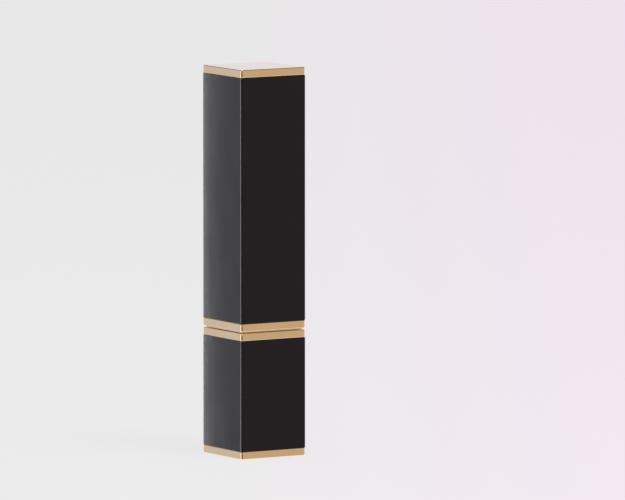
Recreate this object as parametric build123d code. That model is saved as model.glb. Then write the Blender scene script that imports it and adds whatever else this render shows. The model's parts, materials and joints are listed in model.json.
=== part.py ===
import os
from math import sqrt

from build123d import *

# Case outline, in mm. It stands on z = 0, its axis is Z and its flats are square to X and Y.
SIDE = 16.4
TOTAL_H = 85.0
EDGE_R = 0.4
BAND_H = 1.75
BASE_H = 27.65
SEAM_GAP = 0.30
TRIM_INSET = 0.06
BEVEL = 0.18
SHELL_WALL = 0.8
SHELL_BEVEL = 0.06
HIDDEN_R = 0.3
FIT_GAP = 0.05

# Foot of the base
LABEL_SIDE = 10.8
LABEL_T = 0.12
RECESS_SIDE = 11.0
RECESS_DEPTH = 0.25
PLATE_FLOOR_Z = 1.1
PLATE_RIM_TOP = 3.0
WEIGHT_SIDE = 13.2
BASE_WEIGHT_TOP = 2.25

# Head of the cap
CAP_RIM_H = 1.35
CAP_WEIGHT_T = 2.05

# Moulded liners
BASE_BORE_R = 6.4
BASE_BARREL_R = 7.15
FLANGE_T = 1.2
CAP_MOUTH_R = 6.8
STOP_RING_R = 6.75
STOP_RING_BORE_R = 6.25
STOP_FOOT_SIDE = 15.4
CAP_BORE_SIDE = 12.2
CAP_BORE_CORNER_R = 0.8
CAP_TUBE_SIDE = 13.8
CAP_TUBE_CORNER_R = 1.2
CAP_CEILING_Z = 77.0

# Closing magnets
MAGNET_R = 1.0
MAGNET_OFFSET = 6.0
BASE_MAGNET_T = 1.15
CAP_MAGNET_T = 1.2

# Shoulder and collar
SHOULDER_POCKET_R = 6.3
SHOULDER_POCKET_TOP = 26.75
COLLAR_R = 6.05
COLLAR_BORE_R = 5.6
COLLAR_SPIGOT_R = 5.86
COLLAR_TOP = 31.5
COLLAR_EDGE_R = 0.15

# Turning tube
SLEEVE_R = 5.45
SLEEVE_SPIGOT_R = 5.025
SLEEVE_BORE_R = 4.775
SLEEVE_BOTTOM = 24.8
MOUTH_Z = 48.65
LIP_R = 4.4
LIP_T = 0.3
MOUTH_EDGE_R = 0.22
GUIDE_R = 5.3
GUIDE_BORE_R = 4.75
GUIDE_BOTTOM = 2.3
GUIDE_FLANGE_R = 6.2
GUIDE_FLANGE_Z = 26.0
GUIDE_TOP = 26.65
GUIDE_SLOT_W = 1.5

# Spiral, lugs and their travel
SPIRAL_R = 6.35
SPIRAL_BORE_R = 5.4
SPIRAL_TOP = 25.6
SPIRAL_PITCH = 16.0
SPIRAL_SLOT_W = 1.64
SPIRAL_CUT_DEPTH = 2.4
LUG_R = 0.7
LUG_TIP_R = 6.1
LUG_Z = 3.95
LIFT = 20.0

# Carrier and lipstick, both lowered
CARRIER_R = 4.65
CARRIER_BORE_R = 4.25
CARRIER_BOTTOM = 2.75
CARRIER_TOP = 28.2
CUP_FLOOR_Z = 18.5
CUP_FLOOR_T = 0.8
BULLET_R = 4.2
BULLET_FOOT_BEVEL = 0.3
BULLET_TIP_Z = 48.3
BULLET_OGIVE_R = 8.6
BULLET_NOSE_R = 1.4

# Heights that follow from the above
BASE_SHELL_TOP = BASE_H - BAND_H
CAP_BOTTOM = BASE_H + SEAM_GAP
CAP_SHELL_BOTTOM = CAP_BOTTOM + BAND_H
CAP_SHELL_TOP = TOTAL_H - BAND_H
SHELL_INNER = SIDE - 2 * SHELL_WALL
FLANGE_SIDE = SHELL_INNER - 2 * FIT_GAP
TRIM_SIDE = SIDE - 2 * TRIM_INSET


def prism(side, z0, z1, radius=EDGE_R):
    """Square prism with rounded upright edges."""
    return Pos(0, 0, z0) * extrude(RectangleRounded(side, side, radius), z1 - z0)


def rod(radius, z0, z1):
    """Round bar on the axis."""
    return Pos(0, 0, (z0 + z1) / 2) * Cylinder(radius, z1 - z0)


def ring(r_out, r_in, z0, z1):
    """Round tube on the axis."""
    return rod(r_out, z0, z1) - rod(r_in, z0, z1)


def at_corners(shape):
    """Four copies of a shape, one near each corner of the case."""
    copies = [loc * shape for loc in GridLocations(2 * MAGNET_OFFSET, 2 * MAGNET_OFFSET, 2, 2)]
    return copies[0] + copies[1:]


def band(z0, z1):
    """Gold plate, bevelled round its top and bottom rims."""
    body = prism(TRIM_SIDE, z0, z1)
    rims = body.edges().group_by(Axis.Z)
    return chamfer(rims[0] + rims[-1], BEVEL)


def shell(z0, z1):
    """Black square sleeve, open at both ends."""
    body = prism(SIDE, z0, z1) - prism(SHELL_INNER, z0, z1, EDGE_R / 2)
    rims = body.edges().group_by(Axis.Z)
    inside = (SIDE - SHELL_WALL) / 2
    outer = [e for e in rims[0] + rims[-1] if max(abs(e.center().X), abs(e.center().Y)) > inside]
    return chamfer(outer, SHELL_BEVEL)


def base_plate():
    body = band(0, BAND_H) + prism(FLANGE_SIDE, BAND_H, PLATE_RIM_TOP, HIDDEN_R)
    body -= prism(WEIGHT_SIDE + 2 * FIT_GAP, PLATE_FLOOR_Z, PLATE_RIM_TOP, HIDDEN_R)
    return body - prism(RECESS_SIDE, 0, RECESS_DEPTH, HIDDEN_R)


def shade_label():
    return prism(LABEL_SIDE, RECESS_DEPTH - LABEL_T, RECESS_DEPTH, HIDDEN_R)


def base_weight():
    return prism(WEIGHT_SIDE, PLATE_FLOOR_Z, BASE_WEIGHT_TOP, HIDDEN_R)


def base_liner():
    """Round barrel with a square flange at each end, bored for the spiral."""
    body = rod(BASE_BARREL_R, PLATE_RIM_TOP, BASE_SHELL_TOP)
    body += prism(FLANGE_SIDE, PLATE_RIM_TOP, PLATE_RIM_TOP + FLANGE_T, HIDDEN_R)
    body += prism(FLANGE_SIDE, BASE_SHELL_TOP - FLANGE_T, BASE_SHELL_TOP, HIDDEN_R)
    return body - rod(BASE_BORE_R, PLATE_RIM_TOP, BASE_SHELL_TOP)


def slot_cutters():
    """Cutters for one left-hand slot and its round ends, starting on +X at the lug's lowest place."""
    mean_r = (SPIRAL_R + SPIRAL_BORE_R) / 2
    path = Pos(0, 0, LUG_Z) * Helix(SPIRAL_PITCH, LIFT, mean_r, lefthand=True)
    section = Plane(path @ 0, x_dir=(1, 0, 0), z_dir=path % 0) * Rectangle(SPIRAL_CUT_DEPTH, SPIRAL_SLOT_W)
    end = Rot(0, 90, 0) * Cylinder(SPIRAL_SLOT_W / 2, SPIRAL_CUT_DEPTH)
    turn = -360 * LIFT / SPIRAL_PITCH
    low = Pos(mean_r, 0, LUG_Z) * end
    high = Rot(0, 0, turn) * Pos(mean_r, 0, LUG_Z + LIFT) * end
    return [sweep(section, path, is_frenet=True), low, high]


def spiral_tube():
    """Fixed tube with two helical slots half a turn apart."""
    body = ring(SPIRAL_R, SPIRAL_BORE_R, BASE_WEIGHT_TOP, SPIRAL_TOP)
    for cutter in slot_cutters():
        body -= cutter
        body -= Rot(0, 0, 180) * cutter
    return body


def shoulder_trim():
    body = band(BASE_SHELL_TOP, BASE_H)
    body -= rod(SHOULDER_POCKET_R, BASE_SHELL_TOP, SHOULDER_POCKET_TOP)
    body -= rod(COLLAR_SPIGOT_R, SHOULDER_POCKET_TOP, BASE_H)
    return body - at_corners(rod(MAGNET_R, BASE_SHELL_TOP, BASE_SHELL_TOP + BASE_MAGNET_T))


def collar():
    body = rod(COLLAR_R, BASE_H, COLLAR_TOP) + rod(COLLAR_SPIGOT_R, SHOULDER_POCKET_TOP, BASE_H)
    body -= rod(COLLAR_BORE_R, SHOULDER_POCKET_TOP, COLLAR_TOP)
    return fillet(body.edges().group_by(Axis.Z)[-1], COLLAR_EDGE_R)


def base_magnets():
    return at_corners(rod(MAGNET_R, BASE_SHELL_TOP, BASE_SHELL_TOP + BASE_MAGNET_T))


def tube_sleeve():
    """Gold tube whose mouth is curled inwards; its spigot sits in the guide."""
    body = rod(SLEEVE_R, GUIDE_TOP, MOUTH_Z) + rod(SLEEVE_SPIGOT_R, SLEEVE_BOTTOM, GUIDE_TOP)
    body -= rod(SLEEVE_BORE_R, SLEEVE_BOTTOM, MOUTH_Z - LIP_T)
    body = fillet(body.edges().group_by(Axis.Z)[-1], MOUTH_EDGE_R)
    return body - rod(LIP_R, MOUTH_Z - LIP_T, MOUTH_Z)


def slotted_guide():
    """Inner tube with two upright slots, open below, and a flange held under the shoulder."""
    body = rod(GUIDE_R, GUIDE_BOTTOM, GUIDE_TOP) + rod(GUIDE_FLANGE_R, GUIDE_FLANGE_Z, GUIDE_TOP)
    body -= rod(GUIDE_BORE_R, GUIDE_BOTTOM, SLEEVE_BOTTOM)
    body -= rod(SLEEVE_SPIGOT_R, SLEEVE_BOTTOM, GUIDE_TOP)
    slot_top = LUG_Z + LIFT
    slot_h = slot_top - GUIDE_BOTTOM
    slots = Pos(0, 0, GUIDE_BOTTOM + slot_h / 2) * Box(2 * SPIRAL_R, GUIDE_SLOT_W, slot_h)
    slots += Pos(0, 0, slot_top) * Rot(0, 90, 0) * Cylinder(GUIDE_SLOT_W / 2, 2 * SPIRAL_R)
    return body - slots


def friction_ring():
    return ring(GUIDE_FLANGE_R, GUIDE_R, SPIRAL_TOP + FIT_GAP, GUIDE_FLANGE_Z)


def carrier_cup():
    """Long carrier: a cup for the lipstick above, two lugs on X near its foot."""
    body = rod(CARRIER_R, CARRIER_BOTTOM, CARRIER_TOP)
    lugs = Pos(0, 0, LUG_Z) * Rot(0, 90, 0) * Cylinder(LUG_R, 2 * LUG_TIP_R)
    body += lugs
    body -= rod(CARRIER_BORE_R, CARRIER_BOTTOM, CUP_FLOOR_Z - CUP_FLOOR_T)
    return body - rod(CARRIER_BORE_R, CUP_FLOOR_Z, CARRIER_TOP)


def lipstick_bullet():
    """Round stick with a pointed, rounded nose."""
    offset = BULLET_OGIVE_R - BULLET_R
    rise = sqrt((BULLET_OGIVE_R - BULLET_NOSE_R) ** 2 - offset**2)
    shoulder_z = BULLET_TIP_Z - rise - BULLET_NOSE_R
    reach = BULLET_OGIVE_R / (BULLET_OGIVE_R - BULLET_NOSE_R)
    meet = (offset * (reach - 1), shoulder_z + rise * reach)
    foot_in = (BULLET_R - BULLET_FOOT_BEVEL, CUP_FLOOR_Z)
    foot_out = (BULLET_R, CUP_FLOOR_Z + BULLET_FOOT_BEVEL)
    with BuildPart() as stick:
        with BuildSketch(Plane.XZ):
            with BuildLine():
                Polyline((0, CUP_FLOOR_Z), foot_in, foot_out, (BULLET_R, shoulder_z))
                RadiusArc((BULLET_R, shoulder_z), meet, -BULLET_OGIVE_R)
                RadiusArc(meet, (0, BULLET_TIP_Z), -BULLET_NOSE_R)
                Line((0, BULLET_TIP_Z), (0, CUP_FLOOR_Z))
            make_face()
        revolve(axis=Axis.Z)
    return stick.part


def cap_bottom_trim():
    body = band(CAP_BOTTOM, CAP_SHELL_BOTTOM)
    body -= rod(CAP_MOUTH_R, CAP_BOTTOM, CAP_SHELL_BOTTOM)
    return body - at_corners(rod(MAGNET_R, CAP_SHELL_BOTTOM - CAP_MAGNET_T, CAP_SHELL_BOTTOM))


def cap_magnets():
    return at_corners(rod(MAGNET_R, CAP_SHELL_BOTTOM - CAP_MAGNET_T, CAP_SHELL_BOTTOM))


def cap_stop_ring():
    """Gold lining of the cap's mouth; its square foot rests on the shoulder and leaves the seam."""
    foot_z = BASE_H + FIT_GAP
    body = prism(STOP_FOOT_SIDE, foot_z, CAP_BOTTOM, HIDDEN_R) + rod(STOP_RING_R, CAP_BOTTOM, CAP_SHELL_BOTTOM)
    return body - rod(STOP_RING_BORE_R, foot_z, CAP_SHELL_BOTTOM)


def cap_liner():
    """Deep square cup whose flats slide over the round collar."""
    body = prism(CAP_TUBE_SIDE, CAP_SHELL_BOTTOM, CAP_CEILING_Z + FLANGE_T, CAP_TUBE_CORNER_R)
    for z in (CAP_SHELL_BOTTOM, (CAP_SHELL_BOTTOM + CAP_CEILING_Z) / 2, CAP_CEILING_Z):
        body += prism(FLANGE_SIDE, z, z + FLANGE_T, HIDDEN_R)
    return body - prism(CAP_BORE_SIDE, CAP_SHELL_BOTTOM, CAP_CEILING_Z, CAP_BORE_CORNER_R)


def cap_top_plate():
    rim_z = CAP_SHELL_TOP - CAP_RIM_H
    body = band(CAP_SHELL_TOP, TOTAL_H) + prism(FLANGE_SIDE, rim_z, CAP_SHELL_TOP, HIDDEN_R)
    return body - prism(WEIGHT_SIDE + 2 * FIT_GAP, rim_z, CAP_SHELL_TOP, HIDDEN_R)


def cap_weight():
    return prism(WEIGHT_SIDE, CAP_SHELL_TOP - CAP_WEIGHT_T, CAP_SHELL_TOP, HIDDEN_R)


NODES = {
    "base_plate": base_plate(),
    "shade_label": shade_label(),
    "base_weight": base_weight(),
    "base_shell": shell(BAND_H, BASE_SHELL_TOP),
    "base_liner": base_liner(),
    "spiral_tube": spiral_tube(),
    "shoulder_trim": shoulder_trim(),
    "collar": collar(),
    "base_magnets": base_magnets(),
    "tube_sleeve": tube_sleeve(),
    "slotted_guide": slotted_guide(),
    "friction_ring": friction_ring(),
    "carrier_cup": carrier_cup(),
    "lipstick_bullet": lipstick_bullet(),
    "cap_bottom_trim": cap_bottom_trim(),
    "cap_stop_ring": cap_stop_ring(),
    "cap_magnets": cap_magnets(),
    "cap_shell": shell(CAP_SHELL_BOTTOM, CAP_SHELL_TOP),
    "cap_liner": cap_liner(),
    "cap_top_plate": cap_top_plate(),
    "cap_weight": cap_weight(),
}

os.makedirs("parts", exist_ok=True)
for name, solid in NODES.items():
    export_step(solid, f"parts/{name}.step")
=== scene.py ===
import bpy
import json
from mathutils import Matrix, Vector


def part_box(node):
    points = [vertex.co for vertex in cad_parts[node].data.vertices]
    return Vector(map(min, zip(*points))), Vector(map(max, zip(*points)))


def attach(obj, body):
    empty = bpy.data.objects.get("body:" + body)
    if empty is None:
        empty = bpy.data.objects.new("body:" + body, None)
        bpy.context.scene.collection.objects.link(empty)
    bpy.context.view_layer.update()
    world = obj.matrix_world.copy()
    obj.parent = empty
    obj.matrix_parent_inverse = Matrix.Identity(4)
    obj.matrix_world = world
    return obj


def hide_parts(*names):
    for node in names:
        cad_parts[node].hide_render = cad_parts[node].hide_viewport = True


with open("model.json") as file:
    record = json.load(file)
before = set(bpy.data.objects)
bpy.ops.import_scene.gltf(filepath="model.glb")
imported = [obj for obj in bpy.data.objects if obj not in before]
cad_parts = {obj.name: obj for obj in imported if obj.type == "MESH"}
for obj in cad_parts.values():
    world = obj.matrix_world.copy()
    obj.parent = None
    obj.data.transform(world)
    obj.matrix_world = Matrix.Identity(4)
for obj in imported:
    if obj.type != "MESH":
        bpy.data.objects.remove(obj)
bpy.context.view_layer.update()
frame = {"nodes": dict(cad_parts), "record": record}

import json
from math import acos, atan2, cos, pi, radians, sin, sqrt, tan

import bmesh
import bpy
from mathutils import Vector

# Lengths are in millimetres up to the moment a mesh, lamp or camera is made.
MM = 0.001

# Viewing angle, and the point looked at: beside the case, so that it stands left of the middle
VIEW_AZIMUTH = -31.16
VIEW_ELEVATION = 6.0
VIEW_DISTANCE = 2423.2
LENS = 640.8
SENSOR = 36.0
AIM_ASIDE = 12.72
AIM_Z = 44.73

# Rings: spans in each rounded corner and along each flat, so a full ring has 128 points
ARC_SPANS = 8
FLAT_SPANS = 24
RING_POINTS = 4 * (ARC_SPANS + FLAT_SPANS)
BEVEL_STEPS = 4
SHARP_ANGLE = radians(38)

# Details of the shapes that the frame's boxes do not give
EDGE_R = 0.4
BEVEL = 0.2
SHELL_BEVEL = 0.07
SOFT_EDGE = 0.03
HIDDEN_R = 0.3
FIT_GAP = 0.05
RECESS_SLACK = 0.1
RECESS_DEPTH = 0.25
PLATE_FLOOR_Z = 1.1
MAGNET_R = 1.0
POCKET_SLACK = 0.02
CAP_MOUTH_R = 6.8
STOP_RING_BORE_R = 6.25
SHOULDER_POCKET_R = 6.3
COLLAR_SPIGOT_R = 5.86
COLLAR_BORE_R = 5.6
SLEEVE_SPIGOT_R = 5.025
SLEEVE_BORE_R = 4.775
LIP_R = 4.4
LIP_T = 0.3
OGIVE_R = 8.6
NOSE_R = 1.4

# Roundings of single edges
STICK_FOOT_ROUND = 0.3
COLLAR_TOP_ROUND = 0.16
COLLAR_BORE_ROUND = 0.08
TUBE_MOUTH_ROUND = 0.28
LIP_ROUND = 0.13
LIP_ROOT_ROUND = 0.1
CAP_MOUTH_ROUND = 0.1
CAP_FOOT_ROUND = 0.04
CAP_FOOT_BORE_ROUND = 0.06

# Place of the extra ring on a flat end, as a share of the way out from its middle
MID_RING = 0.6
# Spans along the stick's pointed side and over its nose
OGIVE_SPANS = 28
NOSE_SPANS = 12
# How far a cutter runs past the face that it opens
CUT_PAST = 1.0

# The middle part of a noise, which is where nearly all its values lie
NOISE_LOW, NOISE_HIGH = 0.3, 0.7

# Sockets of a Mix node that is set to colour
MIX_A, MIX_B, MIX_RESULT = 6, 7, 2


# ---------- measures taken from the frame ----------

def half(node):
    """Half the width of a node, or its radius."""
    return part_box(node)[1].x / MM


def low(node):
    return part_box(node)[0].z / MM


def high(node):
    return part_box(node)[1].z / MM


BAND_HALF = half("base_plate")
SHELL_HALF = half("base_shell")
FLANGE_HALF = half("base_liner")
WEIGHT_HALF = half("base_weight")
MAGNET_OFFSET = half("base_magnets") - MAGNET_R


# ---------- mesh building ----------

def square_ring(reach, corner, z):
    """Points round a square with rounded corners, starting at its first corner."""
    points = []
    for quarter in range(4):
        c, s = cos(quarter * pi / 2), sin(quarter * pi / 2)
        centre = reach - corner
        quarter_points = []
        for i in range(ARC_SPANS + 1):
            a = i / ARC_SPANS * pi / 2
            quarter_points.append((centre + corner * cos(a), centre + corner * sin(a)))
        for i in range(1, FLAT_SPANS):
            quarter_points.append((centre * (1 - 2 * i / FLAT_SPANS), reach))
        points += [(c * x - s * y, s * x + c * y, z) for x, y in quarter_points]
    return points


def round_ring(radius, z):
    """Points round a circle, numbered so that they face those of square_ring."""
    points = []
    for i in range(RING_POINTS):
        a = pi / 4 + (i - ARC_SPANS / 2) * 2 * pi / RING_POINTS
        points.append((radius * cos(a), radius * sin(a), z))
    return points


def rounded_corner(before, corner, after, radius):
    """Points of the arc that rounds a profile's corner."""
    p = Vector(corner)
    u, v = (Vector(before) - p).normalized(), (Vector(after) - p).normalized()
    half_angle = acos(max(-1.0, min(1.0, u.dot(v)))) / 2
    reach = radius / tan(half_angle)
    centre = p + (u + v).normalized() * (radius / sin(half_angle))
    start, end = p + u * reach - centre, p + v * reach - centre
    a0 = atan2(start.y, start.x)
    swing = (atan2(end.y, end.x) - a0 + pi) % (2 * pi) - pi
    steps = [a0 + swing * i / BEVEL_STEPS for i in range(BEVEL_STEPS + 1)]
    return [(centre.x + radius * cos(a), centre.y + radius * sin(a)) for a in steps]


def rings_of(profile, closed):
    """Rings of points for a profile.

    A profile point is (distance from axis, height, rounding, plan). Plan is the corner
    radius of a square ring, or None for a round one. A point on the axis is a pole.
    """
    rings = []
    count = len(profile)
    for i, (reach, z, rounding, plan) in enumerate(profile):
        if rounding and (closed or 0 < i < count - 1):
            before, after = profile[i - 1][:2], profile[(i + 1) % count][:2]
            places = rounded_corner(before, (reach, z), after, rounding)
        else:
            places = [(reach, z)]
        for d, height in places:
            if d == 0:
                rings.append([(0.0, 0.0, height)])
            elif plan is None:
                rings.append(round_ring(d, height))
            else:
                rings.append(square_ring(d, max(plan + d - reach, SOFT_EDGE), height))
    return rings


def skin(rings, closed):
    """Vertices and faces of a skin over rings; a pole closes an end."""
    verts, starts = [], []
    for ring in rings:
        starts.append(len(verts))
        verts += ring
    faces = []
    pairs = list(zip(range(len(rings) - 1), range(1, len(rings))))
    if closed:
        pairs.append((len(rings) - 1, 0))
    for a, b in pairs:
        for i in range(RING_POINTS):
            j = (i + 1) % RING_POINTS
            if len(rings[a]) == 1:
                faces.append((starts[a], starts[b] + i, starts[b] + j))
            elif len(rings[b]) == 1:
                faces.append((starts[a] + j, starts[a] + i, starts[b]))
            else:
                faces.append((starts[a] + i, starts[b] + i, starts[b] + j, starts[a] + j))
    return verts, faces


def mesh_object(name, verts, faces):
    """Object with its faces turned outward."""
    mesh = bpy.data.meshes.new(name)
    mesh.from_pydata([Vector(v) * MM for v in verts], [], faces)
    bm = bmesh.new()
    bm.from_mesh(mesh)
    bmesh.ops.recalc_face_normals(bm, faces=bm.faces)
    bm.to_mesh(mesh)
    bm.free()
    obj = bpy.data.objects.new(name, mesh)
    bpy.context.scene.collection.objects.link(obj)
    return obj


def smooth(obj):
    """Shades an object smooth but for its sharp edges."""
    obj.data.polygons.foreach_set("use_smooth", [True] * len(obj.data.polygons))
    obj.data.set_sharp_from_angle(angle=SHARP_ANGLE)
    weighted = obj.modifiers.new("weighted_normals", "WEIGHTED_NORMAL")
    weighted.keep_sharp = True


def finish_piece(obj, node, body, material):
    """Puts a new piece on its body in place of its CAD node."""
    smooth(obj)
    obj.data.materials.append(material)
    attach(obj, body)
    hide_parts(node)


def loft(name, profile, closed=False):
    """Object whose skin runs over the rings of a profile."""
    return mesh_object(name, *skin(rings_of(profile, closed), closed))


def cut_pockets(obj, z0, z1):
    """Cuts the four round magnet pockets out of a band."""
    radius = MAGNET_R + POCKET_SLACK
    rod = [(0, z0, 0, None), (radius, z0, 0, None), (radius, z1, 0, None), (0, z1, 0, None)]
    rod_verts, rod_faces = skin(rings_of(rod, False), False)
    verts, faces = [], []
    for x in (-MAGNET_OFFSET, MAGNET_OFFSET):
        for y in (-MAGNET_OFFSET, MAGNET_OFFSET):
            faces += [tuple(i + len(verts) for i in face) for face in rod_faces]
            verts += [(vx + x, vy + y, vz) for vx, vy, vz in rod_verts]
    cutter = mesh_object("pocket_cutter", verts, faces)
    cut = obj.modifiers.new("pockets", "BOOLEAN")
    cut.operation = "DIFFERENCE"
    cut.solver = "EXACT"
    cut.object = cutter
    depsgraph = bpy.context.evaluated_depsgraph_get()
    mesh = bpy.data.meshes.new_from_object(obj.evaluated_get(depsgraph))
    obj.modifiers.remove(cut)
    obj.data = mesh
    bpy.data.objects.remove(cutter)


# ---------- materials ----------

def shader_of(mat):
    return mat.node_tree.nodes["Principled BSDF"]


def new_material(name, **sockets):
    """Principled material with the values that are the same all over it."""
    mat = bpy.data.materials.new(name)
    mat.use_nodes = True
    for socket, value in sockets.items():
        shader_of(mat).inputs[socket.replace("_", " ")].default_value = value
    return mat


def add_node(owner, kind, **settings):
    """New node in the tree of a material or a world."""
    node = owner.node_tree.nodes.new(kind)
    for key, value in settings.items():
        setattr(node, key, value)
    return node


def map_range(owner, value, start, end, first=0.0, last=1.0, curve="LINEAR"):
    """Output that goes from first to last as the value goes from start to end."""
    span = add_node(owner, "ShaderNodeMapRange", interpolation_type=curve)
    span.inputs["From Min"].default_value = start
    span.inputs["From Max"].default_value = end
    span.inputs["To Min"].default_value = first
    span.inputs["To Max"].default_value = last
    owner.node_tree.links.new(value, span.inputs["Value"])
    return span.outputs["Result"]


def mix_colours(owner, factor, first, second, blend_type="MIX"):
    """Output that mixes two colours, each of them a tuple or another node's output."""
    links = owner.node_tree.links
    mix = add_node(owner, "ShaderNodeMix", data_type="RGBA", blend_type=blend_type)
    links.new(factor, mix.inputs["Factor"])
    for socket, value in ((mix.inputs[MIX_A], first), (mix.inputs[MIX_B], second)):
        if isinstance(value, tuple):
            socket.default_value = (*value, 1)
        else:
            links.new(value, socket)
    return mix.outputs[MIX_RESULT]


def noise(mat, size, stretch=(1, 1, 1), detail=3.0, rough=0.55):
    """Noise whose grains are about size across, in millimetres, and longer along stretch."""
    links = mat.node_tree.links
    coords = add_node(mat, "ShaderNodeTexCoord")
    mapping = add_node(mat, "ShaderNodeMapping")
    texture = add_node(mat, "ShaderNodeTexNoise")
    mapping.inputs["Scale"].default_value = [1 / (size * MM * s) for s in stretch]
    texture.inputs["Scale"].default_value = 1.0
    texture.inputs["Detail"].default_value = detail
    texture.inputs["Roughness"].default_value = rough
    links.new(coords.outputs["Object"], mapping.inputs["Vector"])
    links.new(mapping.outputs["Vector"], texture.inputs["Vector"])
    return texture.outputs[0]


def vary_value(mat, socket, factor, low_value, high_value):
    """Moves one of the shader's values with a noise."""
    varied = map_range(mat, factor, NOISE_LOW, NOISE_HIGH, low_value, high_value)
    mat.node_tree.links.new(varied, shader_of(mat).inputs[socket])


def vary_colour(mat, factor, first, second):
    """Mixes two near colours with a noise."""
    ramp = add_node(mat, "ShaderNodeValToRGB")
    ramp.color_ramp.elements[0].position = NOISE_LOW
    ramp.color_ramp.elements[1].position = NOISE_HIGH
    ramp.color_ramp.elements[0].color = (*first, 1)
    ramp.color_ramp.elements[1].color = (*second, 1)
    mat.node_tree.links.new(factor, ramp.inputs["Fac"])
    mat.node_tree.links.new(ramp.outputs["Color"], shader_of(mat).inputs["Base Color"])


def add_bump(mat, factor, depth, strength=1.0):
    """Relief from a noise, depth in millimetres, on top of any relief already there."""
    bump = add_node(mat, "ShaderNodeBump")
    bump.inputs["Strength"].default_value = strength
    bump.inputs["Distance"].default_value = depth * MM
    mat.node_tree.links.new(factor, bump.inputs["Height"])
    normal = shader_of(mat).inputs["Normal"]
    if normal.is_linked:
        mat.node_tree.links.new(normal.links[0].from_socket, bump.inputs["Normal"])
    mat.node_tree.links.new(bump.outputs["Normal"], normal)


def gold_metal():
    """Polished pale gold: faint level brushing and soft smudges in the polish."""
    mat = new_material("polished_gold", Metallic=1.0)
    vary_colour(mat, noise(mat, 5.0), (0.87, 0.64, 0.41), (0.89, 0.67, 0.44))
    vary_value(mat, "Roughness", noise(mat, 0.12, (40, 40, 1)), 0.10, 0.15)
    add_bump(mat, noise(mat, 0.05, (60, 60, 1), detail=2), 0.00015)
    add_bump(mat, noise(mat, 1.8, detail=2), 0.0006)
    return mat


def black_sleeve():
    """Satin black anodising: a fine blasted grain and a slight cloudiness."""
    mat = new_material("satin_black", IOR=1.33, Specular_Tint=(1.0, 0.94, 0.97, 1.0))
    vary_colour(mat, noise(mat, 7.0), (0.0066, 0.0055, 0.0090), (0.0080, 0.0066, 0.0105))
    vary_value(mat, "Roughness", noise(mat, 3.0, (1, 1, 3)), 0.22, 0.26)
    add_bump(mat, noise(mat, 0.06, detail=2), 0.0006)
    return mat


def collar_black():
    """Gloss black moulding: even, with the faint waviness of a moulded face."""
    mat = new_material("gloss_black")
    vary_colour(mat, noise(mat, 2.5), (0.0015, 0.0013, 0.0010), (0.0022, 0.0019, 0.0015))
    vary_value(mat, "Roughness", noise(mat, 1.2), 0.06, 0.09)
    add_bump(mat, noise(mat, 1.5, detail=1), 0.0008)
    return mat


def lipstick_wax():
    """Crimson wax: slightly translucent, smooth from the mould, with fine pits and soft waves."""
    mat = new_material("crimson_wax", Subsurface_Weight=0.12, Subsurface_Scale=0.0008, IOR=1.47)
    shader_of(mat).inputs["Subsurface Radius"].default_value = (1.0, 0.15, 0.12)
    vary_colour(mat, noise(mat, 1.4), (0.63, 0.0008, 0.042), (0.67, 0.0012, 0.048))
    vary_value(mat, "Roughness", noise(mat, 0.9), 0.04, 0.07)
    add_bump(mat, noise(mat, 0.08, detail=3), 0.0004)
    add_bump(mat, noise(mat, 1.6, detail=1), 0.0008)
    return mat


def liner_plastic():
    """Matt black moulding with a spark-eroded texture."""
    mat = new_material("matt_black_moulding")
    vary_colour(mat, noise(mat, 1.0), (0.015, 0.015, 0.016), (0.022, 0.022, 0.023))
    vary_value(mat, "Roughness", noise(mat, 0.4), 0.50, 0.62)
    add_bump(mat, noise(mat, 0.12, detail=4), 0.006)
    return mat


def mechanism_plastic():
    """Natural low-friction moulding: off-white, waxy, with faint flow marks along its length."""
    mat = new_material("natural_moulding", Subsurface_Weight=0.15, Subsurface_Scale=0.0008)
    vary_colour(mat, noise(mat, 1.2, (1, 1, 5)), (0.72, 0.71, 0.66), (0.78, 0.77, 0.73))
    vary_value(mat, "Roughness", noise(mat, 0.5), 0.34, 0.44)
    add_bump(mat, noise(mat, 0.25, (1, 1, 4)), 0.0025)
    return mat


def silicone():
    """Soft grey seal rubber with a dry, dusty surface."""
    mat = new_material("grey_silicone", Subsurface_Weight=0.2, Subsurface_Scale=0.0006)
    vary_colour(mat, noise(mat, 0.6), (0.50, 0.51, 0.51), (0.58, 0.59, 0.59))
    vary_value(mat, "Roughness", noise(mat, 0.2), 0.45, 0.58)
    add_bump(mat, noise(mat, 0.1), 0.003)
    return mat


def weight_steel():
    """Plain steel block, ground flat: straight grinding lines and a dull bloom."""
    mat = new_material("ground_steel", Metallic=1.0)
    vary_colour(mat, noise(mat, 2.0), (0.48, 0.47, 0.46), (0.58, 0.58, 0.58))
    vary_value(mat, "Roughness", noise(mat, 0.15, (50, 1, 1)), 0.28, 0.42)
    add_bump(mat, noise(mat, 0.08, (80, 1, 1)), 0.002)
    return mat


def magnet_nickel():
    """Bright nickel plate with a few soft marks from barrel plating."""
    mat = new_material("nickel_plate", Metallic=1.0)
    vary_colour(mat, noise(mat, 0.7), (0.68, 0.67, 0.64), (0.75, 0.74, 0.72))
    vary_value(mat, "Roughness", noise(mat, 0.3), 0.12, 0.22)
    add_bump(mat, noise(mat, 0.3), 0.0015)
    return mat


def label_paper():
    """Blank matt label: fine paper fibre."""
    mat = new_material("label_paper")
    vary_colour(mat, noise(mat, 0.25, (1, 3, 1)), (0.80, 0.78, 0.74), (0.88, 0.87, 0.84))
    vary_value(mat, "Roughness", noise(mat, 0.3), 0.72, 0.85)
    add_bump(mat, noise(mat, 0.08, (1, 4, 1)), 0.004)
    return mat


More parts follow.
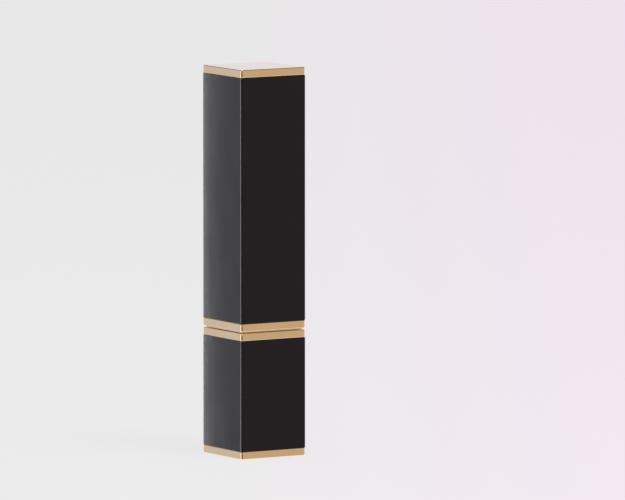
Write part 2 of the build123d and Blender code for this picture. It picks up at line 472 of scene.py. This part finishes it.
MATERIALS = {
    "gold_metal": gold_metal(),
    "black_sleeve": black_sleeve(),
    "collar_black": collar_black(),
    "lipstick_wax": lipstick_wax(),
    "liner_plastic": liner_plastic(),
    "mechanism_plastic": mechanism_plastic(),
    "silicone": silicone(),
    "weight_steel": weight_steel(),
    "magnet_nickel": magnet_nickel(),
    "label_paper": label_paper(),
}


# ---------- visible pieces ----------

def band_profile(z0, z1):
    """The two outer corners of a gold band, from its underside up."""
    return [(BAND_HALF, z0, BEVEL, EDGE_R), (BAND_HALF, z1, BEVEL, EDGE_R)]


def base_plate():
    """Foot plate: a recess for the label below, a rim and the weight's pocket above."""
    top, rim = low("base_shell"), high("base_plate")
    recess, pocket = half("shade_label") + RECESS_SLACK, WEIGHT_HALF + FIT_GAP
    return loft("foot_plate", [
        (0, RECESS_DEPTH, 0, None),
        (recess * MID_RING, RECESS_DEPTH, 0, None),
        (recess, RECESS_DEPTH, SOFT_EDGE, HIDDEN_R),
        (recess, 0, SOFT_EDGE, HIDDEN_R),
        *band_profile(0, top),
        (FLANGE_HALF, top, SOFT_EDGE, HIDDEN_R),
        (FLANGE_HALF, rim, SOFT_EDGE, HIDDEN_R),
        (pocket, rim, SOFT_EDGE, HIDDEN_R),
        (pocket, PLATE_FLOOR_Z, SOFT_EDGE, HIDDEN_R),
        (pocket * MID_RING, PLATE_FLOOR_Z, 0, None),
        (0, PLATE_FLOOR_Z, 0, None),
    ])


def sleeve(name, node):
    """Square sleeve, open at both ends, its outer rims softly rounded."""
    z0, z1 = low(node), high(node)
    inner = FLANGE_HALF + FIT_GAP
    return loft(name, [
        (SHELL_HALF, z0, SHELL_BEVEL, EDGE_R),
        (SHELL_HALF, z1, SHELL_BEVEL, EDGE_R),
        (inner, z1, SOFT_EDGE, EDGE_R / 2),
        (inner, z0, SOFT_EDGE, EDGE_R / 2),
    ], closed=True)


def shoulder_trim():
    """Band with a round hole for the collar and a pocket for the guide's flange."""
    z0, z1, pocket_top = low("shoulder_trim"), high("shoulder_trim"), low("collar")
    band = loft("shoulder_plate", [
        *band_profile(z0, z1),
        (COLLAR_SPIGOT_R, z1, SOFT_EDGE, None),
        (COLLAR_SPIGOT_R, pocket_top, 0, None),
        (SHOULDER_POCKET_R, pocket_top, 0, None),
        (SHOULDER_POCKET_R, z0, SOFT_EDGE, None),
    ], closed=True)
    cut_pockets(band, z0 - CUT_PAST, high("base_magnets"))
    return band


def collar():
    """Ring that stands on the shoulder, on a narrower spigot."""
    z0, seat, z1, r = low("collar"), high("shoulder_trim"), high("collar"), half("collar")
    return loft("collar_ring", [
        (COLLAR_SPIGOT_R, z0, SOFT_EDGE, None),
        (COLLAR_SPIGOT_R, seat, 0, None),
        (r, seat, SOFT_EDGE, None),
        (r, z1, COLLAR_TOP_ROUND, None),
        (COLLAR_BORE_R, z1, COLLAR_BORE_ROUND, None),
        (COLLAR_BORE_R, z0, SOFT_EDGE, None),
    ], closed=True)


def tube_sleeve():
    """Tube with a curled-in mouth, its hidden lower part narrower where it fits in the guide."""
    z0, z1, r = low("tube_sleeve"), high("tube_sleeve"), half("tube_sleeve")
    step = high("slotted_guide")
    return loft("gold_tube", [
        (SLEEVE_SPIGOT_R, z0, SOFT_EDGE, None),
        (SLEEVE_SPIGOT_R, step, 0, None),
        (r, step, SOFT_EDGE, None),
        (r, z1, TUBE_MOUTH_ROUND, None),
        (LIP_R, z1, LIP_ROUND, None),
        (LIP_R, z1 - LIP_T, LIP_ROUND, None),
        (SLEEVE_BORE_R, z1 - LIP_T, LIP_ROOT_ROUND, None),
        (SLEEVE_BORE_R, z0, SOFT_EDGE, None),
    ], closed=True)


def lipstick_bullet():
    """Round stick with an ogive end and a ball nose."""
    z0, tip, r = low("lipstick_bullet"), high("lipstick_bullet"), half("lipstick_bullet")
    offset = OGIVE_R - r
    rise = sqrt((OGIVE_R - NOSE_R) ** 2 - offset**2)
    shoulder = tip - rise - NOSE_R
    meet = atan2(rise, offset)
    profile = [(0, z0, 0, None), (r, z0, STICK_FOOT_ROUND, None)]
    for i in range(OGIVE_SPANS + 1):
        a = meet * i / OGIVE_SPANS
        profile.append((OGIVE_R * cos(a) - offset, shoulder + OGIVE_R * sin(a), 0, None))
    for i in range(1, NOSE_SPANS):
        a = meet + (pi / 2 - meet) * i / NOSE_SPANS
        profile.append((NOSE_R * cos(a), shoulder + rise + NOSE_R * sin(a), 0, None))
    profile.append((0, tip, 0, None))
    return loft("lipstick", profile)


def cap_bottom_trim():
    """Band with the cap's round mouth."""
    z0, z1 = low("cap_bottom_trim"), high("cap_bottom_trim")
    band = loft("cap_band", [
        *band_profile(z0, z1),
        (CAP_MOUTH_R, z1, SOFT_EDGE, None),
        (CAP_MOUTH_R, z0, CAP_MOUTH_ROUND, None),
    ], closed=True)
    cut_pockets(band, low("cap_magnets"), z1 + CUT_PAST)
    return band


def cap_stop_ring():
    """Gold lining of the cap's mouth, with the square foot that shows in the seam."""
    foot, step, top = low("cap_stop_ring"), low("cap_bottom_trim"), high("cap_stop_ring")
    return loft("cap_foot", [
        (half("cap_stop_ring"), foot, CAP_FOOT_ROUND, HIDDEN_R),
        (half("cap_stop_ring"), step, 0, HIDDEN_R),
        (CAP_MOUTH_R - FIT_GAP, step, 0, None),
        (CAP_MOUTH_R - FIT_GAP, top, SOFT_EDGE, None),
        (STOP_RING_BORE_R, top, SOFT_EDGE, None),
        (STOP_RING_BORE_R, foot, CAP_FOOT_BORE_ROUND, None),
    ], closed=True)


def cap_top_plate():
    """Top plate, with a rim and the weight's pocket below."""
    rim, z0, z1 = low("cap_top_plate"), high("cap_shell"), high("cap_top_plate")
    pocket = half("cap_weight") + FIT_GAP
    return loft("cap_plate", [
        (0, z0, 0, None),
        (pocket * MID_RING, z0, 0, None),
        (pocket, z0, SOFT_EDGE, HIDDEN_R),
        (pocket, rim, SOFT_EDGE, HIDDEN_R),
        (FLANGE_HALF, rim, SOFT_EDGE, HIDDEN_R),
        (FLANGE_HALF, z0, SOFT_EDGE, HIDDEN_R),
        *band_profile(z0, z1),
        (BAND_HALF * MID_RING, z1, 0, None),
        (0, z1, 0, None),
    ])


PIECES = [
    (base_plate(), "base_plate"),
    (sleeve("base_sleeve", "base_shell"), "base_shell"),
    (shoulder_trim(), "shoulder_trim"),
    (collar(), "collar"),
    (tube_sleeve(), "tube_sleeve"),
    (lipstick_bullet(), "lipstick_bullet"),
    (cap_bottom_trim(), "cap_bottom_trim"),
    (cap_stop_ring(), "cap_stop_ring"),
    (sleeve("cap_sleeve", "cap_shell"), "cap_shell"),
    (cap_top_plate(), "cap_top_plate"),
]

record = frame["record"]
BODY_OF = {node: body for body, nodes in record["behaviour"]["bodies"].items() for node in nodes}
SLOT_OF = {part["node"]: part["material_slot"] for part in record["subparts"]}

for piece, node in PIECES:
    finish_piece(piece, node, BODY_OF[node], MATERIALS[SLOT_OF[node]])

# The inner pieces keep their CAD shape.
REPLACED = {node for piece, node in PIECES}
for name, obj in frame["nodes"].items():
    if name not in REPLACED:
        obj.data.materials.clear()
        obj.data.materials.append(MATERIALS[SLOT_OF[name]])


# ---------- camera, floor and light ----------

def direction(azimuth, elevation):
    """Unit vector from the case towards a place round it, azimuth 0 being in front."""
    a, e = radians(azimuth), radians(elevation)
    return Vector((sin(a) * cos(e), -cos(a) * cos(e), sin(e)))


BACK = direction(VIEW_AZIMUTH, VIEW_ELEVATION)
RIGHT = direction(VIEW_AZIMUTH + 90, 0)


def add_camera():
    camera = bpy.data.objects.new("camera", bpy.data.cameras.new("camera"))
    camera.data.lens = LENS
    camera.data.sensor_width = SENSOR
    camera.data.clip_start = 0.1
    camera.data.clip_end = 100
    aim = RIGHT * AIM_ASIDE + Vector((0, 0, AIM_Z))
    camera.location = (aim + BACK * VIEW_DISTANCE) * MM
    camera.rotation_mode = "QUATERNION"
    camera.rotation_quaternion = (-BACK).to_track_quat("-Z", "Y")
    bpy.context.scene.collection.objects.link(camera)
    bpy.context.scene.camera = camera


# Colours of the table, from the plain far part to the faintly pink part right of the case
PALE = (0.823, 0.823, 0.823)
PINK = (0.871, 0.791, 0.871)
TABLE_HALF = 30000
TABLE_BELOW = 0.02
TABLE_GREY = 0.10
TABLE_GLOW = 0.94
# The pink sets in between these distances right of the axis, and fades out between these
# distances away from it
PINK_FROM, PINK_TO = -30, 90
FADE_FROM, FADE_TO = 1500, 3000


def add_floor():
    """Glowing pale table. Only the camera sees it: the pieces mirror the studio round them."""
    corners = [
        (x * TABLE_HALF, y * TABLE_HALF, -TABLE_BELOW)
        for x, y in ((-1, -1), (1, -1), (1, 1), (-1, 1))
    ]
    floor = mesh_object("floor", corners, [(0, 1, 2, 3)])
    mat = new_material("pale_table", Roughness=1.0)
    shader = shader_of(mat)
    shader.inputs["Base Color"].default_value = (TABLE_GREY, TABLE_GREY, TABLE_GREY, 1)
    shader.inputs["Specular IOR Level"].default_value = 0.0
    shader.inputs["Emission Strength"].default_value = TABLE_GLOW
    links = mat.node_tree.links
    coords = add_node(mat, "ShaderNodeTexCoord")
    across = add_node(mat, "ShaderNodeVectorMath", operation="DOT_PRODUCT")
    across.inputs[1].default_value = RIGHT
    links.new(coords.outputs["Object"], across.inputs[0])
    away = add_node(mat, "ShaderNodeVectorMath", operation="LENGTH")
    links.new(coords.outputs["Object"], away.inputs[0])
    side = map_range(mat, across.outputs["Value"], PINK_FROM * MM, PINK_TO * MM, curve="SMOOTHSTEP")
    near = map_range(mat, away.outputs["Value"], FADE_FROM * MM, FADE_TO * MM, 1.0, 0.0, "SMOOTHSTEP")
    both = add_node(mat, "ShaderNodeMath", operation="MULTIPLY")
    links.new(side, both.inputs[0])
    links.new(near, both.inputs[1])
    tint = mix_colours(mat, both.outputs["Value"], PALE, PINK)
    links.new(tint, shader.inputs["Emission Color"])
    floor.data.materials.append(mat)
    floor.visible_diffuse = False
    floor.visible_glossy = False
    floor.visible_transmission = False
    floor.visible_shadow = False


def lamp_group(name, nodes):
    """Group of the pieces that stand for these nodes, for a lamp that lights nothing else."""
    group = bpy.data.collections.new(name)
    for piece, node in PIECES:
        if node in nodes:
            group.objects.link(piece)
    return group


BLACK_NODES = {"base_shell", "cap_shell"}
ROUND_NODES = {"collar", "tube_sleeve", "lipstick_bullet"}
BLACK_SLEEVES = lamp_group("black_sleeves", BLACK_NODES)
GOLD_BANDS = lamp_group("gold_bands", REPLACED - BLACK_NODES - ROUND_NODES)
ALL_BUT_BANDS = lamp_group("all_but_bands", BLACK_NODES | ROUND_NODES)


def softbox(name, azimuth, elevation, distance, width, height, radiance, receivers=None, beside=(0, 0)):
    """Lamp panel facing the case's axis, or the upright line that stands at beside.

    The azimuth is counted from the camera's. Given receivers, the panel shows only in their gloss.
    """
    lamp = bpy.data.objects.new(name, bpy.data.lights.new(name, "AREA"))
    lamp.data.shape = "RECTANGLE"
    lamp.data.size, lamp.data.size_y = width * MM, height * MM
    lamp.data.energy = radiance * pi * width * MM * height * MM
    towards = direction(VIEW_AZIMUTH + azimuth, elevation)
    lamp.location = (Vector((*beside, AIM_Z)) + towards * distance) * MM
    lamp.rotation_mode = "QUATERNION"
    lamp.rotation_quaternion = (-towards).to_track_quat("-Z", "Y")
    lamp.visible_camera = False
    if receivers:
        lamp.visible_diffuse = False
        lamp.light_linking.receiver_collection = receivers
    bpy.context.scene.collection.objects.link(lamp)


# Light of the studio's wall round the case, by azimuth from the camera's
WALL = [
    (-180, (0.84, 0.85, 0.97)), (-150, (0.82, 0.84, 0.93)), (-118, (0.66, 0.69, 0.75)),
    (-104, (0.62, 0.63, 0.67)), (-88, (0.20, 0.16, 0.13)), (-40, (0.14, 0.095, 0.06)),
    (0, (0.12, 0.075, 0.045)), (10, (0.07, 0.045, 0.03)), (24, (0.035, 0.022, 0.015)),
    (40, (0.09, 0.07, 0.05)), (50, (0.36, 0.31, 0.24)), (60, (0.60, 0.53, 0.41)),
    (70, (0.66, 0.61, 0.50)), (85, (0.78, 0.75, 0.68)), (100, (0.88, 0.87, 0.84)),
    (130, (0.95, 0.97, 1.0)), (150, (0.90, 0.91, 0.97)),
]
# Above FILL_RISE no part of the wall is darker than FILL. SKY is above the wall, GROUND below it.
FILL = (0.27, 0.24, 0.20)
SKY = (0.27, 0.26, 0.26)
GROUND = (1.12, 1.10, 1.10)
# Heights over which these set in, as the Z of a unit direction
FILL_RISE = (-0.068, -0.056)
SKY_RISE = (0.18, 0.42)
GROUND_RISE = (-0.45, -0.25)


def add_world():
    """Studio: a bright wall behind, a dark side towards the camera, a dim ceiling and a bright floor."""
    world = bpy.data.worlds.new("studio")
    bpy.context.scene.world = world
    world.use_nodes = True
    world.node_tree.nodes.clear()
    links = world.node_tree.links

    coords = add_node(world, "ShaderNodeTexCoord")
    round_wall = add_node(world, "ShaderNodeTexGradient", gradient_type="RADIAL")
    wall = add_node(world, "ShaderNodeValToRGB")
    stops = sorted((((VIEW_AZIMUTH + azimuth + 90) / 360) % 1, value) for azimuth, value in WALL)
    (p0, v0), (p1, v1) = stops[-1], stops[0]
    seam = Vector(v0).lerp(Vector(v1), (1 - p0) / (1 - p0 + p1))
    elements = wall.color_ramp.elements
    elements[0].color = (*seam, 1)
    elements[1].color = (*seam, 1)
    for place, value in stops:
        elements.new(place).color = (*value, 1)
    links.new(coords.outputs["Generated"], round_wall.inputs["Vector"])
    links.new(round_wall.outputs["Fac"], wall.inputs["Fac"])

    split = add_node(world, "ShaderNodeSeparateXYZ")
    links.new(coords.outputs["Generated"], split.inputs["Vector"])

    def blend(rise, below, above, blend_type="MIX"):
        """Light that goes from below to above over a rise in height."""
        height = map_range(world, split.outputs["Z"], *rise, curve="SMOOTHSTEP")
        return mix_colours(world, height, below, above, blend_type)

    studio = blend(FILL_RISE, wall.outputs["Color"], FILL, "LIGHTEN")
    studio = blend(GROUND_RISE, GROUND, studio)
    studio = blend(SKY_RISE, studio, SKY)

    # The camera sees the table's plain colour beyond the table's end.
    around = add_node(world, "ShaderNodeBackground")
    seen = add_node(world, "ShaderNodeBackground")
    seen.inputs["Color"].default_value = (*PALE, 1)
    links.new(studio, around.inputs["Color"])
    rays = add_node(world, "ShaderNodeLightPath")
    either = add_node(world, "ShaderNodeMixShader")
    links.new(rays.outputs["Is Camera Ray"], either.inputs["Fac"])
    links.new(around.outputs["Background"], either.inputs[1])
    links.new(seen.outputs["Background"], either.inputs[2])
    output = add_node(world, "ShaderNodeOutputWorld")
    links.new(either.outputs["Shader"], output.inputs["Surface"])


add_camera()
add_floor()
add_world()

# A large strip on the left. The gold bands mirror a dimmer one, so that their corner lines keep
# their colour.
LEFT_STRIP = {"azimuth": -64.5, "elevation": -20, "distance": 600, "width": 497, "height": 665}
softbox("left_strip", **LEFT_STRIP, radiance=11.0, receivers=ALL_BUT_BANDS)
softbox("left_strip_dimmed", **LEFT_STRIP, radiance=1.6, receivers=GOLD_BANDS)
softbox("top_box", azimuth=46, elevation=60, distance=700, width=260, height=260, radiance=10.0)

# A slim tall strip close to the sleeves' left edge, whose glow fades across the face beside it
softbox(
    "left_edge_strip", azimuth=-127, elevation=0, distance=13, width=3,
    height=4 * high("cap_top_plate"), radiance=8.0, receivers=BLACK_SLEEVES,
    beside=(-SHELL_HALF, SHELL_HALF),
)

bpy.context.scene.view_settings.view_transform = "Standard"
